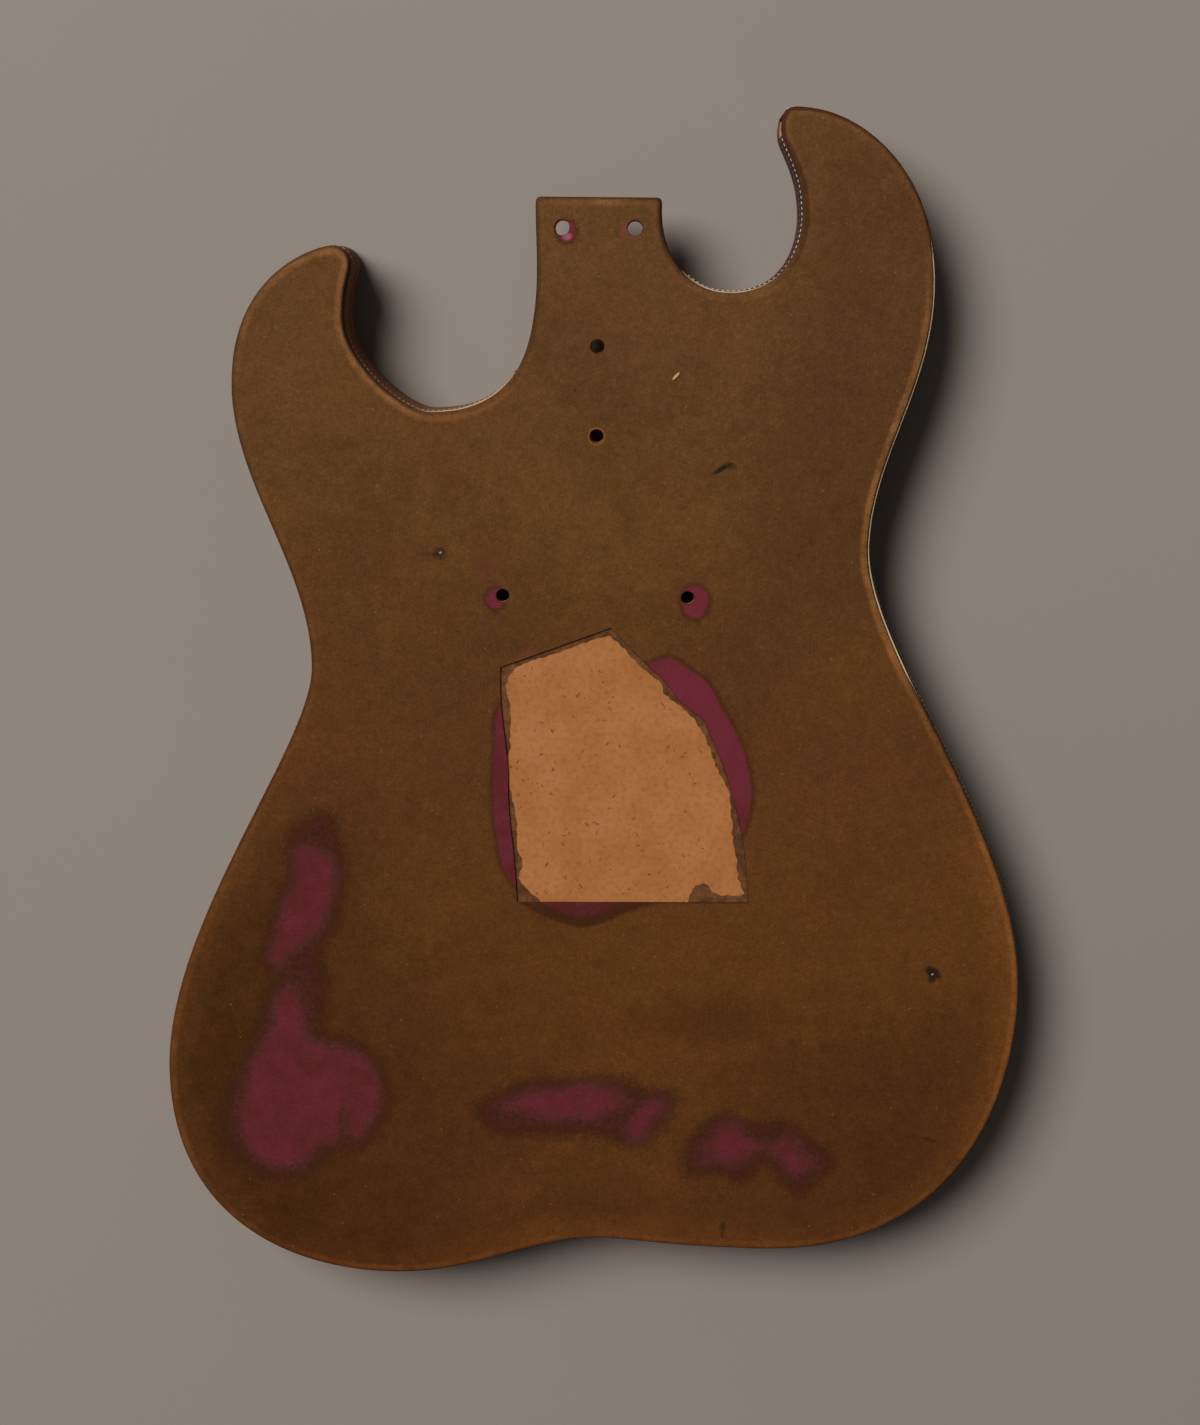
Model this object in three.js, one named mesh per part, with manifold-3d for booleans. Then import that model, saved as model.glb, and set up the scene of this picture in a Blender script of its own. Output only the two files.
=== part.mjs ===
// Body of an electric guitar: two sheets of hardboard over a softwood frame.
// Millimetres. The body lies on its front: +Z is the felt-covered back, +Y the neck end and
// +X the bass side. The origin is the middle of the bottom face of its box.

import * as THREE from 'three';
import { mergeVertices } from 'three/addons/utils/BufferGeometryUtils.js';
import Module from 'manifold-3d';

// Overall sizes
const bodyLength = 480;
const bodyWidth = 352;
const frameDepth = 31;
const boardThickness = 3.2;
const boardEdgeRadius = 2.4;
const feltThickness = 1;
const feltRimThickness = 0.5;
const tapeThickness = 0.9;
const tapeStandsProud = 0.2;
const glueGap = 0.3;

// Neck tongue and the pocket for the neck
const tongueWidth = 49.6;
const tongueDrop = 34.8;
const tongueCornerRadius = 2;
const tongueFloor = 14.4;
const pocketLength = 109;
const cheekThickness = 7;
const neckBlockWidth = 96;
const neckBlockLength = 132;

// Screw holes for the neck: a pair near the tongue's end and two on the middle line
const endScrewSpacing = 28.4;
const endScrewInset = 12;
const endScrewHole = 6;
const middleScrewInset = 57.6;
const rearScrewInset = 92.7;
const middleScrewHole = 5.4;

// Pickup: two height screws through the back, and a slot in the front
const pickupInset = 156.5;
const pickupScrewSpacing = 74;
const pickupScrewHole = 5.2;
const pickupSlotLength = 92;
const pickupSlotWidth = 19;

// Bridge: three screws into a block between the boards
const bridgeInset = 292;
const bridgeBlockWidth = 110;
const bridgeBlockLength = 64;
const bridgeScrewSpacing = 40;
const bridgeScrewSetback = 14;
const bridgeScrewHole = 3;
const bridgeScrewDepth = 16;

// Opening in the front for the controls
const controlInset = 312;
const controlOffset = 89;
const controlLength = 104;
const controlWidth = 46;
const controlCornerRadius = 10;

// Strap button at the tail
const strapScrewHole = 3;
const strapScrewDepth = 24;

// Frame
const railWidth = 22;
const tailBlockWidth = 96;

// Piece cut out of the felt
const cutoutWidth = 101.6;
const cutoutLength = 113.8;
const cutoutBelowPickup = 12.5;
const cutoutOffset = 12.9;

// Bare gap between the ends of the two tapes, at the tip of the bass horn
const tapeGapInset = 3.5;
const tapeGapLength = 7;

// Fineness of the curves, and how far a cutting tool runs past what it cuts
const chordLength = 11;
const shortChordLength = 4.5;
const chordBend = 9.5;
const leastSteps = 5;
const cornerSteps = 6;
const edgeSteps = 3;
const holeSides = 16;
const leastCornerRadius = 0.3;
const overrun = 4;

// Heights of the layers, and places that follow from the sizes
const halfWidth = bodyWidth / 2;
const halfLength = bodyLength / 2;
const frameBottom = boardThickness;
const frameTop = frameBottom + frameDepth;
const boardTop = frameTop + boardThickness;
const bodyTop = boardTop + feltThickness;
const tongueEnd = halfLength - tongueDrop;
const pocketDepth = bodyTop - tongueFloor;
const frameInset = tapeThickness + glueGap;
const frontBoardInset = glueGap;
const feltInset = tapeStandsProud;
const backBoardInset = feltInset + feltRimThickness + glueGap;

// Where the body's edge passes, walking clockwise from the bass side of the tongue, and the way
// it heads there. Places and the reach of the two handles are shares of the half width for what
// runs across and of the half length for what runs along.
const edgeShares = {
  bassCutaway: { across: 0.294, along: 0.706, heads: 'right', back: 0.101, on: 0.104 },
  bassHornInside: { across: 0.448, along: 0.828, heads: 'up', back: 0.065, on: 0.073 },
  bassHornTip: { across: 0.398, along: 0.961, heads: 'up', back: 0.022, on: 0.03 },
  bassHornTop: { across: 0.432, along: 1, heads: 'right', back: 0.026, on: 0.156 },
  bassShoulder: { across: 0.751, along: 0.711, heads: 'down', back: 0.179, on: 0.164 },
  bassWaist: { across: 0.623, along: 0.289, heads: 'down', back: 0.147, on: 0.172 },
  bassBout: { across: 1, along: -0.475, heads: 'down', back: 0.278, on: 0.232 },
  bassLobe: { across: 0.424, along: -0.945, heads: 'left', back: 0.41, on: 0.236 },
  notch: { across: 0.032, along: -0.93, heads: 'left', back: 0.064, on: 0.177 },
  trebleLobe: { across: -0.468, along: -1, heads: 'left', back: 0.21, on: 0.276 },
  trebleBout: { across: -1, along: -0.633, heads: 'up', back: 0.26, on: 0.261 },
  trebleWaist: { across: -0.65, along: 0.078, heads: 'up', back: 0.134, on: 0.166 },
  trebleShoulder: { across: -0.823, along: 0.544, heads: 'up', back: 0.161, on: 0.19 },
  trebleHornTop: { across: -0.592, along: 0.774, heads: 'right', back: 0.03, on: 0.024 },
  trebleHornTip: { across: -0.551, along: 0.745, heads: 'down', back: 0.016, on: 0.022 },
  trebleHornInside: { across: -0.567, along: 0.655, heads: 'down', back: 0.06, on: 0.067 },
  trebleCutaway: { across: -0.38, along: 0.507, heads: 'right', back: 0.058, on: 0.289 },
};
const tongueHandleShares = { bass: 0.06, treble: 0.098 };

// Joints of the frame, along the body, as shares of the half length
const bassHornJointShare = 0.45;
const trebleHornJointShare = 0.27;
const waistJointShare = -0.27;
const boutJointShare = -0.75;

// How far the tail block fills the room between the tail and the bridge block
const tailBlockShare = 0.46;

// Corners of the piece cut out of the felt, as shares of its half width and half length
const cutoutShares = [
  [-1, 0.71],
  [-0.13, 1],
  [0.09, 0.8],
  [0.3, 0.62],
  [0.44, 0.465],
  [0.615, 0.35],
  [0.725, 0.13],
  [0.835, -0.135],
  [0.945, -0.53],
  [1, -0.98],
  [-0.86, -1],
  [-0.88, -0.74],
  [-0.93, -0.29],
  [-0.94, 0.01],
  [-0.995, 0.46],
];

const wasm = await Module();
wasm.setup();

const headings = {
  right: new THREE.Vector2(1, 0),
  left: new THREE.Vector2(-1, 0),
  up: new THREE.Vector2(0, 1),
  down: new THREE.Vector2(0, -1),
};

function edgePlace({ across, along }) {
  return new THREE.Vector2(across * halfWidth, along * halfLength);
}

// A place on the edge with the two handle points of the curves that meet there
function knot(shares) {
  const place = edgePlace(shares);
  const heading = headings[shares.heads];
  const reach = heading.x === 0 ? halfLength : halfWidth;
  return {
    place,
    before: place.clone().addScaledVector(heading, -shares.back * reach),
    after: place.clone().addScaledVector(heading, shares.on * reach),
  };
}

// The place on one side of the tongue where its straight end piece meets the curved edge
function tongueKnot(side, handleShare) {
  const cornerRun = tongueCornerRadius + backBoardInset + boardEdgeRadius;
  const place = new THREE.Vector2((side * tongueWidth) / 2, tongueEnd - cornerRun);
  const handle = place.clone().addScaledVector(headings.down, handleShare * halfLength);
  return { place, before: handle, after: handle };
}

// Points along the edge from the bass side of the tongue clockwise to its treble side
function curvedEdge() {
  const knots = [
    tongueKnot(1, tongueHandleShares.bass),
    ...Object.values(edgeShares).map(knot),
    tongueKnot(-1, tongueHandleShares.treble),
  ];
  const points = [knots[0].place];
  for (let i = 1; i < knots.length; i += 1) {
    const from = knots[i - 1];
    const to = knots[i];
    const curve = new THREE.CubicBezierCurve(from.place, from.after, to.before, to.place);
    const length = curve.getLength();
    const bend = THREE.MathUtils.radToDeg(curve.getTangent(0).angleTo(curve.getTangent(1)));
    const bendSteps = Math.min(bend / chordBend, length / shortChordLength);
    const steps = Math.max(leastSteps, Math.ceil(length / chordLength), Math.floor(bendSteps));
    points.push(...curve.getPoints(steps).slice(1));
  }
  return points;
}

// One rounded corner of the tongue's end, drawn in by an inset
function tongueCorner(side, inset) {
  const radius = Math.max(tongueCornerRadius - inset, leastCornerRadius);
  const x = side * (tongueWidth / 2 - inset - radius);
  const y = tongueEnd - inset - radius;
  const [start, end] = side < 0 ? [Math.PI, Math.PI / 2] : [Math.PI / 2, 0];
  return new THREE.EllipseCurve(x, y, radius, radius, start, end, true).getPoints(edgeSteps);
}

// The curved edge drawn in by an inset, clockwise
const edge = curvedEdge();
function drawIn(inset) {
  const last = edge.length - 1;
  return edge.map((point, i) => {
    const along = edge[Math.min(i + 1, last)].clone().sub(edge[Math.max(i - 1, 0)]).normalize();
    const inward = new THREE.Vector2(along.y, -along.x);
    return point.clone().addScaledVector(inward, inset);
  });
}

// The whole outline drawn in by an inset, anticlockwise
function outline(inset) {
  return [...drawIn(inset), ...tongueCorner(-1, inset), ...tongueCorner(1, inset)].reverse();
}

function solid(geometry) {
  geometry.deleteAttribute('normal');
  geometry.deleteAttribute('uv');
  const merged = mergeVertices(geometry);
  const mesh = new wasm.Mesh({
    numProp: 3,
    vertProperties: merged.attributes.position.array,
    triVerts: new Uint32Array(merged.index.array),
  });
  return new wasm.Manifold(mesh);
}

// A flat slab of any outline between two heights
function slab(points, bottom, top) {
  const options = { depth: top - bottom, bevelEnabled: false };
  const geometry = new THREE.ExtrudeGeometry(new THREE.Shape(points), options);
  return solid(geometry.translate(0, 0, bottom));
}

function box(xRange, yRange, zRange) {
  const [[x0, x1], [y0, y1], [z0, z1]] = [xRange, yRange, zRange];
  const geometry = new THREE.BoxGeometry(x1 - x0, y1 - y0, z1 - z0);
  return solid(geometry.translate((x0 + x1) / 2, (y0 + y1) / 2, (z0 + z1) / 2));
}

// A round hole's tool, upright at x, y
function drill(x, y, diameter, bottom, top) {
  const radius = diameter / 2;
  const geometry = new THREE.CylinderGeometry(radius, radius, top - bottom, holeSides);
  geometry.rotateX(Math.PI / 2);
  return solid(geometry.translate(x, y, (bottom + top) / 2));
}

// A slot or opening with rounded corners
function roundedOpening(x, y, width, length, radius, bottom, top) {
  const corners = [
    [1, 1, 0],
    [-1, 1, 1],
    [-1, -1, 2],
    [1, -1, 3],
  ];
  const points = corners.flatMap(([sideX, sideY, quarter]) => {
    const start = (quarter * Math.PI) / 2;
    const cornerX = x + sideX * (width / 2 - radius);
    const cornerY = y + sideY * (length / 2 - radius);
    const arc = new THREE.EllipseCurve(cornerX, cornerY, radius, radius, start, start + Math.PI / 2);
    return arc.getPoints(cornerSteps);
  });
  return slab(points, bottom, top);
}

// A solid that runs through one outline after another, each at its own height
function loft(levels) {
  const rings = levels.map(({ inset }) => outline(inset));
  const count = rings[0].length;
  const positions = rings.flatMap((ring, k) => ring.flatMap((p) => [p.x, p.y, levels[k].height]));
  const indices = [];
  for (const [a, b, c] of THREE.ShapeUtils.triangulateShape(rings[0], [])) {
    indices.push(c, b, a);
  }
  for (const face of THREE.ShapeUtils.triangulateShape(rings[rings.length - 1], [])) {
    indices.push(...face.map((i) => i + (rings.length - 1) * count));
  }
  for (let k = 1; k < rings.length; k += 1) {
    for (let i = 0; i < count; i += 1) {
      const next = (i + 1) % count;
      const [low, lowNext] = [(k - 1) * count + i, (k - 1) * count + next];
      const [high, highNext] = [low + count, lowNext + count];
      indices.push(low, lowNext, highNext, low, highNext, high);
    }
  }
  const geometry = new THREE.BufferGeometry();
  geometry.setAttribute('position', new THREE.Float32BufferAttribute(positions, 3));
  geometry.setIndex(indices);
  return solid(geometry);
}

// Levels of a quarter-round edge: it starts upright at one inset and ends flat at another
function roundedEdge(inset, innerInset, height, topHeight) {
  return Array.from({ length: edgeSteps + 1 }, (_, i) => {
    const angle = (i / edgeSteps) * (Math.PI / 2);
    return {
      inset: innerInset + (inset - innerInset) * Math.cos(angle),
      height: height + (topHeight - height) * Math.sin(angle),
    };
  });
}

const group = new THREE.Group();
function add(name, shape, { color, roughness }) {
  const mesh = shape.getMesh();
  const geometry = new THREE.BufferGeometry();
  geometry.setAttribute('position', new THREE.BufferAttribute(mesh.vertProperties, 3));
  geometry.setIndex(new THREE.BufferAttribute(mesh.triVerts, 1));
  const flat = geometry.toNonIndexed();
  flat.computeVertexNormals();
  const material = new THREE.MeshStandardMaterial({ color, roughness, metalness: 0 });
  const piece = new THREE.Mesh(flat, material);
  piece.name = name;
  group.add(piece);
}

const finishes = {
  felt: { color: 0x5f3e1f, roughness: 1 },
  hardboard: { color: 0xa06539, roughness: 0.75 },
  softwood: { color: 0xd2ae6e, roughness: 0.8 },
  wovenTape: { color: 0x40191c, roughness: 0.9 },
};

// Where the cheeks of the neck pocket end beside the tongue: there the body's edge leaves
// enough wood outside the pocket
function cheekEnd(points) {
  const reach = tongueWidth / 2 + cheekThickness + frameInset;
  const i = points.findIndex((point) => Math.abs(point.x) > reach);
  const share = (reach - Math.abs(points[i - 1].x)) / (Math.abs(points[i].x) - Math.abs(points[i - 1].x));
  return THREE.MathUtils.lerp(points[i - 1].y, points[i].y, share);
}
const bassCheekEnd = cheekEnd(edge);
const trebleCheekEnd = cheekEnd([...edge].reverse());

// What is cleared away beside the tongue, between two heights
function besideTongue(bottom, top) {
  const reach = tongueWidth / 2 + cheekThickness + frameInset + overrun;
  const bass = box([0, reach], [bassCheekEnd, tongueEnd + overrun], [bottom, top]);
  const treble = box([-reach, 0], [trebleCheekEnd, tongueEnd + overrun], [bottom, top]);
  return bass.add(treble);
}

const pocketEnd = tongueEnd - pocketLength;
const pocket = box(
  [-tongueWidth / 2, tongueWidth / 2],
  [pocketEnd, tongueEnd + overrun],
  [-overrun, pocketDepth],
).add(besideTongue(-overrun, pocketDepth));

// Screw holes through the back
const throughBack = [pocketDepth - overrun, bodyTop + overrun];
const neckHoles = [
  drill(-endScrewSpacing / 2, tongueEnd - endScrewInset, endScrewHole, ...throughBack),
  drill(endScrewSpacing / 2, tongueEnd - endScrewInset, endScrewHole, ...throughBack),
  drill(0, tongueEnd - middleScrewInset, middleScrewHole, ...throughBack),
  drill(0, tongueEnd - rearScrewInset, middleScrewHole, ...throughBack),
];
const pickupHoles = [-1, 1].map((side) => {
  const x = (side * pickupScrewSpacing) / 2;
  return drill(x, tongueEnd - pickupInset, pickupScrewHole, ...throughBack);
});
const bridgeHoles = [
  [-bridgeScrewSpacing / 2, 0],
  [bridgeScrewSpacing / 2, 0],
  [0, -bridgeScrewSetback],
].map(([x, y]) => {
  return drill(x, tongueEnd - bridgeInset + y, bridgeScrewHole, -overrun, bridgeScrewDepth);
});

function cut(shape, tools) {
  return tools.reduce((left, tool) => left.subtract(tool), shape);
}

// Front board, with its outer edge rounded over and its openings
function frontBoard() {
  const inner = frontBoardInset + boardEdgeRadius;
  const rounded = roundedEdge(frontBoardInset, inner, boardEdgeRadius, 0).reverse();
  const blank = loft([...rounded, { inset: frontBoardInset, height: boardThickness }]);
  const slot = roundedOpening(
    0,
    tongueEnd - pickupInset,
    pickupSlotLength,
    pickupSlotWidth,
    pickupSlotWidth / 2,
    -overrun,
    frameBottom + overrun,
  );
  const controls = roundedOpening(
    -controlOffset,
    tongueEnd - controlInset,
    controlWidth,
    controlLength,
    controlCornerRadius,
    -overrun,
    frameBottom + overrun,
  );
  return cut(blank, [pocket, slot, controls, ...bridgeHoles]);
}

// Back board: a blank whose outer edge is rounded over
function backBoardBlank(grownBy) {
  const outer = backBoardInset - grownBy;
  const inner = backBoardInset + boardEdgeRadius - grownBy;
  const rounded = roundedEdge(outer, inner, boardTop - boardEdgeRadius, boardTop);
  return loft([{ inset: outer, height: frameTop }, ...rounded]);
}

// Felt laid over the back board and round its edge, with a piece cut out of it
function backFelt() {
  const rim = frameTop + glueGap;
  const inner = backBoardInset + boardEdgeRadius;
  const roundStart = boardTop - boardEdgeRadius;
  const rounded = roundedEdge(feltInset, inner, roundStart, bodyTop);
  const sheet = loft([{ inset: feltInset, height: rim }, ...rounded]);
  const cutoutTop = tongueEnd - pickupInset - cutoutBelowPickup;
  const corners = cutoutShares.map(([across, along]) => {
    const x = cutoutOffset + (across * cutoutWidth) / 2;
    const y = cutoutTop + ((along - 1) * cutoutLength) / 2;
    return new THREE.Vector2(x, y);
  });
  const cutout = slab(corners.reverse(), roundStart, bodyTop + overrun);
  return cut(sheet, [backBoardBlank(glueGap), cutout, ...neckHoles, ...pickupHoles]);
}

// The frame in one piece, before it is sawn at its joints
const bassCutaway = edgePlace(edgeShares.bassCutaway);
const trebleCutaway = edgePlace(edgeShares.trebleCutaway);
const bassHornInside = edgePlace(edgeShares.bassHornInside);
const notch = edgePlace(edgeShares.notch);
const neckBlockEnd = tongueEnd - neckBlockLength;
const bridgeBlockEnd = tongueEnd - bridgeInset - bridgeBlockLength / 2;
const tailBlockTop = THREE.MathUtils.lerp(notch.y, bridgeBlockEnd, tailBlockShare);

function indexOnEdge(place) {
  return edge.findIndex((point) => point.equals(place));
}

function frameBlank() {
  const from = indexOnEdge(edgePlace(edgeShares.bassShoulder));
  const to = indexOnEdge(edgePlace(edgeShares.trebleShoulder));
  const innerEdge = drawIn(frameInset + railWidth).slice(from, to + 1).reverse();
  const heights = [frameBottom - overrun, frameTop + overrun];
  const inside = slab(innerEdge, ...heights);
  const bassTop = bassCutaway.y - railWidth;
  const trebleTop = trebleCutaway.y - railWidth;
  const bassSide = box([0, bodyWidth], [-bodyLength, bassTop], heights);
  const trebleSide = box([-bodyWidth, 0], [-bodyLength, trebleTop], heights);
  const neckBlock = box(
    [-neckBlockWidth / 2, neckBlockWidth / 2],
    [neckBlockEnd, bodyLength],
    heights,
  );
  const tailBlock = box(
    [-tailBlockWidth / 2, tailBlockWidth / 2],
    [-bodyLength, tailBlockTop],
    heights,
  );
  const chamber = cut(inside.intersect(bassSide.add(trebleSide)), [neckBlock, tailBlock]);
  return cut(slab(outline(frameInset), frameBottom, frameTop), [chamber]);
}

const blank = frameBlank();
const far = bodyLength;
const saw = glueGap / 2;
const bassJoint = bassHornJointShare * halfLength;
const trebleJoint = trebleHornJointShare * halfLength;
const waistJoint = waistJointShare * halfLength;
const boutJoint = boutJointShare * halfLength;
const besideNeck = neckBlockWidth / 2 + saw;
const besideTail = tailBlockWidth / 2 + saw;

// Hole for the strap button's screw, level, in from the notch of the tail
function strapHole() {
  const radius = strapScrewHole / 2;
  const length = strapScrewDepth + overrun;
  const geometry = new THREE.CylinderGeometry(radius, radius, length, holeSides);
  const y = notch.y - overrun + length / 2;
  return solid(geometry.translate(notch.x, y, frameBottom + frameDepth / 2));
}

// One piece of the frame, on one side of the middle line or across it
function framePiece(xRange, yRange) {
  return blank.intersect(box(xRange, yRange, [frameBottom - overrun, frameTop + overrun]));
}
function mirrored([x0, x1]) {
  return [-x1, -x0];
}

function neckBlock() {
  const piece = framePiece([saw - neckBlockWidth / 2, neckBlockWidth / 2 - saw], [neckBlockEnd, far]);
  return cut(piece, [pocket, ...neckHoles]);
}

function bridgeBlock() {
  const y = tongueEnd - bridgeInset;
  const blockBox = box(
    [-bridgeBlockWidth / 2, bridgeBlockWidth / 2],
    [y - bridgeBlockLength / 2, y + bridgeBlockLength / 2],
    [frameBottom, frameTop],
  );
  return cut(blockBox, bridgeHoles);
}

add('front_board', frontBoard(), finishes.hardboard);
add('back_board', cut(backBoardBlank(0), [...neckHoles, ...pickupHoles]), finishes.hardboard);
add('back_felt', backFelt(), finishes.felt);
add('neck_block', neckBlock(), finishes.softwood);
add('bridge_block', bridgeBlock(), finishes.softwood);

const pastNeckBlock = [besideNeck, far];
const pastTailBlock = [besideTail, far];
const rails = {
  bass_horn_block: [pastNeckBlock, [bassJoint + saw, far]],
  bass_waist_rail: [pastNeckBlock, [waistJoint + saw, bassJoint - saw]],
  bass_bout_rail: [pastTailBlock, [boutJoint + saw, waistJoint - saw]],
  bass_tail_rail: [pastTailBlock, [-far, boutJoint - saw]],
  treble_horn_block: [mirrored(pastNeckBlock), [trebleJoint + saw, far]],
  treble_waist_rail: [mirrored(pastNeckBlock), [waistJoint + saw, trebleJoint - saw]],
  treble_bout_rail: [mirrored(pastTailBlock), [boutJoint + saw, waistJoint - saw]],
  treble_tail_rail: [mirrored(pastTailBlock), [-far, boutJoint - saw]],
  tail_block: [[saw - tailBlockWidth / 2, tailBlockWidth / 2 - saw], [-far, tailBlockTop]],
};
for (const [name, ranges] of Object.entries(rails)) {
  add(name, cut(framePiece(...ranges), [strapHole()]), finishes.softwood);
}

// Woven tape round the sides, in two lengths that leave the tip of the bass horn bare
function edgeTapes() {
  const outer = slab(outline(0), frameBottom, frameTop);
  const inner = slab(outline(tapeThickness), frameBottom - overrun, frameTop + overrun);
  const heights = [frameBottom - overrun, frameTop + overrun];
  const band = cut(outer, [inner, besideTongue(...heights)]);
  const acrossCutaway = [0, bassHornInside.x + railWidth / 2];
  const gapTop = halfLength - tapeGapInset;
  const low = bassCutaway.y - railWidth / 2;
  return {
    cutaway: band.intersect(box(acrossCutaway, [low, gapTop - tapeGapLength], heights)),
    outer: cut(band, [box(acrossCutaway, [low, gapTop], heights), strapHole()]),
  };
}
const tapes = edgeTapes();
add('edge_tape_cutaway', tapes.cutaway, finishes.wovenTape);
add('edge_tape_outer', tapes.outer, finishes.wovenTape);

export default group;
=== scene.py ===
import math

import bmesh
import bpy
import numpy as np
from mathutils import Matrix, Vector


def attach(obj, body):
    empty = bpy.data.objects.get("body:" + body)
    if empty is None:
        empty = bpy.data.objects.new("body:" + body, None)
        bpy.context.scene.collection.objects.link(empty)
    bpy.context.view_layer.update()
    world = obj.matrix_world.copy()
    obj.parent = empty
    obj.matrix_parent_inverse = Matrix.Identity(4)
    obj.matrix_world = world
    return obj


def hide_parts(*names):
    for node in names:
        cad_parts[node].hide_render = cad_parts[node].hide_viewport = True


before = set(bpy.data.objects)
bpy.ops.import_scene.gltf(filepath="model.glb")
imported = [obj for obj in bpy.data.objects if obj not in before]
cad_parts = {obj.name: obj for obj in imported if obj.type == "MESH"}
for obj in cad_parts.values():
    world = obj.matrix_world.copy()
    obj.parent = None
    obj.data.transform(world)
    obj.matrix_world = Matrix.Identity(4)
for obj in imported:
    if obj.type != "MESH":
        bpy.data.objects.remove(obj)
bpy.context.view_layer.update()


# The view. The body lies on its front and the camera looks down on the felt,
# from above the neck end, a little turned about its own axis.
MM = 0.001
FRAME_WIDTH, FRAME_HEIGHT = 1200, 1425
FOCAL_PIXELS = 2320
SENSOR_WIDTH = 36
FOOT_PIXEL = (650, 298)
CAMERA_PLACE = (0.0204, 0.1665, 0.9594)
CAMERA_ROLL = math.radians(0.55)

lens = bpy.data.cameras.new("view")
lens.sensor_fit = "AUTO"
lens.sensor_width = SENSOR_WIDTH
lens.lens = SENSOR_WIDTH * FOCAL_PIXELS / FRAME_HEIGHT
camera = bpy.data.objects.new("view", lens)
bpy.context.scene.collection.objects.link(camera)
bpy.context.scene.camera = camera

down = Vector((
    (FOOT_PIXEL[0] - FRAME_WIDTH / 2) / FOCAL_PIXELS,
    (FRAME_HEIGHT / 2 - FOOT_PIXEL[1]) / FOCAL_PIXELS,
    -1,
)).normalized()
up_seen = -down
across = Vector((1, 0, 0))
across = (across - across.dot(up_seen) * up_seen).normalized()
along = up_seen.cross(across)
cosine, sine = math.cos(CAMERA_ROLL), math.sin(CAMERA_ROLL)
x_seen = cosine * across - sine * along
y_seen = sine * across + cosine * along
camera.matrix_world = Matrix.Translation(CAMERA_PLACE) @ Matrix((x_seen, y_seen, up_seen)).to_4x4()


# The floor and the light: a sheet of warm grey paper, one large soft lamp high on the
# upper left, and an even pale room around it.
FLOOR_COLOURS = (137, 127, 119), (131, 122, 114)
FLOOR_REACH = 12
LAMP_PLACE = (-2.1, 2.0, 3.8)
LAMP_SIZE = 2.7
LAMP_POWER = 284
LAMP_COLOUR = (1.0, 0.985, 0.96)
ROOM_COLOUR = (1.0, 0.99, 0.975, 1)
ROOM_LEVEL = 0.12


def paint(red, green, blue):
    """A colour written as it looks, from 0 to 255, for a shader's socket."""
    def linear(value):
        value /= 255
        return value / 12.92 if value <= 0.04045 else ((value + 0.055) / 1.055) ** 2.4
    return linear(red), linear(green), linear(blue), 1


def put(tree, kind, sockets=(), **settings):
    """One shader node: sockets is {name or number: a value, or the socket that feeds it}."""
    made = tree.nodes.new("ShaderNode" + kind)
    for name, value in settings.items():
        setattr(made, name, value)
    for name, value in dict(sockets).items():
        if isinstance(value, bpy.types.NodeSocket):
            tree.links.new(value, made.inputs[name])
        else:
            made.inputs[name].default_value = value
    return made


def finish_with(name, roughness):
    """A new material: (the material, its node tree, its surface shader)."""
    material = bpy.data.materials.new(name)
    material.use_nodes = True
    tree = material.node_tree
    tree.nodes.clear()
    surface = put(tree, "BsdfPrincipled", {"Roughness": roughness})
    put(tree, "OutputMaterial", {"Surface": surface.outputs[0]})
    return material, tree, surface


def place(tree, turn=0, stretch=(1, 1, 1), shift=(0, 0, 0)):
    """Where a point lies on the object, turned about Z in degrees, then stretched and shifted."""
    here = put(tree, "TexCoord").outputs["Object"]
    if turn:
        here = put(tree, "Mapping", {0: here, "Rotation": (0, 0, math.radians(turn))}).outputs[0]
    return put(tree, "Mapping", {0: here, "Location": shift, "Scale": stretch}).outputs[0]


def cloudy(tree, size, detail=2.0, where=None, roughness=0.5):
    """Soft random shading with features of about that size, in metres: from 0 to 1."""
    where = where or place(tree)
    sockets = {"Vector": where, "Scale": 1 / size, "Detail": detail, "Roughness": roughness}
    return put(tree, "TexNoise", sockets).outputs[0]


def sums(tree, operation, first, second=0.0, third=0.0):
    """One step of arithmetic on two or three values."""
    return put(tree, "Math", {0: first, 1: second, 2: third}, operation=operation).outputs[0]


def between(tree, value, start, end, low=0.0, high=1.0, smooth=True):
    """Goes from low to high while value goes from start to end."""
    kind = "SMOOTHSTEP" if smooth else "LINEAR"
    sockets = {0: value, 1: start, 2: end, 3: low, 4: high}
    return put(tree, "MapRange", sockets, interpolation_type=kind).outputs[0]


def blend(tree, share, first, second):
    """Goes from the first colour to the second with share."""
    return put(tree, "Mix", {0: share, 6: first, 7: second}, data_type="RGBA").outputs[2]


def relief(tree, surface, height, depth):
    """Raises the surface by depth, in metres, where height is 1."""
    bump = put(tree, "Bump", {"Height": height, "Distance": depth, "Strength": 1.0})
    tree.links.new(bump.outputs[0], surface.inputs["Normal"])


def put_on(piece, material):
    """Gives a piece this finish all over."""
    piece.data.materials.clear()
    piece.data.materials.append(material)


paper, tree, surface = finish_with("backdrop_paper", 0.9)
tint = blend(tree, cloudy(tree, 0.25, 3), *(paint(*colour) for colour in FLOOR_COLOURS))
tree.links.new(tint, surface.inputs["Base Color"])
relief(tree, surface, cloudy(tree, 0.0015), 0.00004)

shape = bmesh.new()
bmesh.ops.create_grid(shape, x_segments=1, y_segments=1, size=FLOOR_REACH)
mesh = bpy.data.meshes.new("floor")
shape.to_mesh(mesh)
shape.free()
floor = bpy.data.objects.new("floor", mesh)
bpy.context.scene.collection.objects.link(floor)
put_on(floor, paper)

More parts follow.
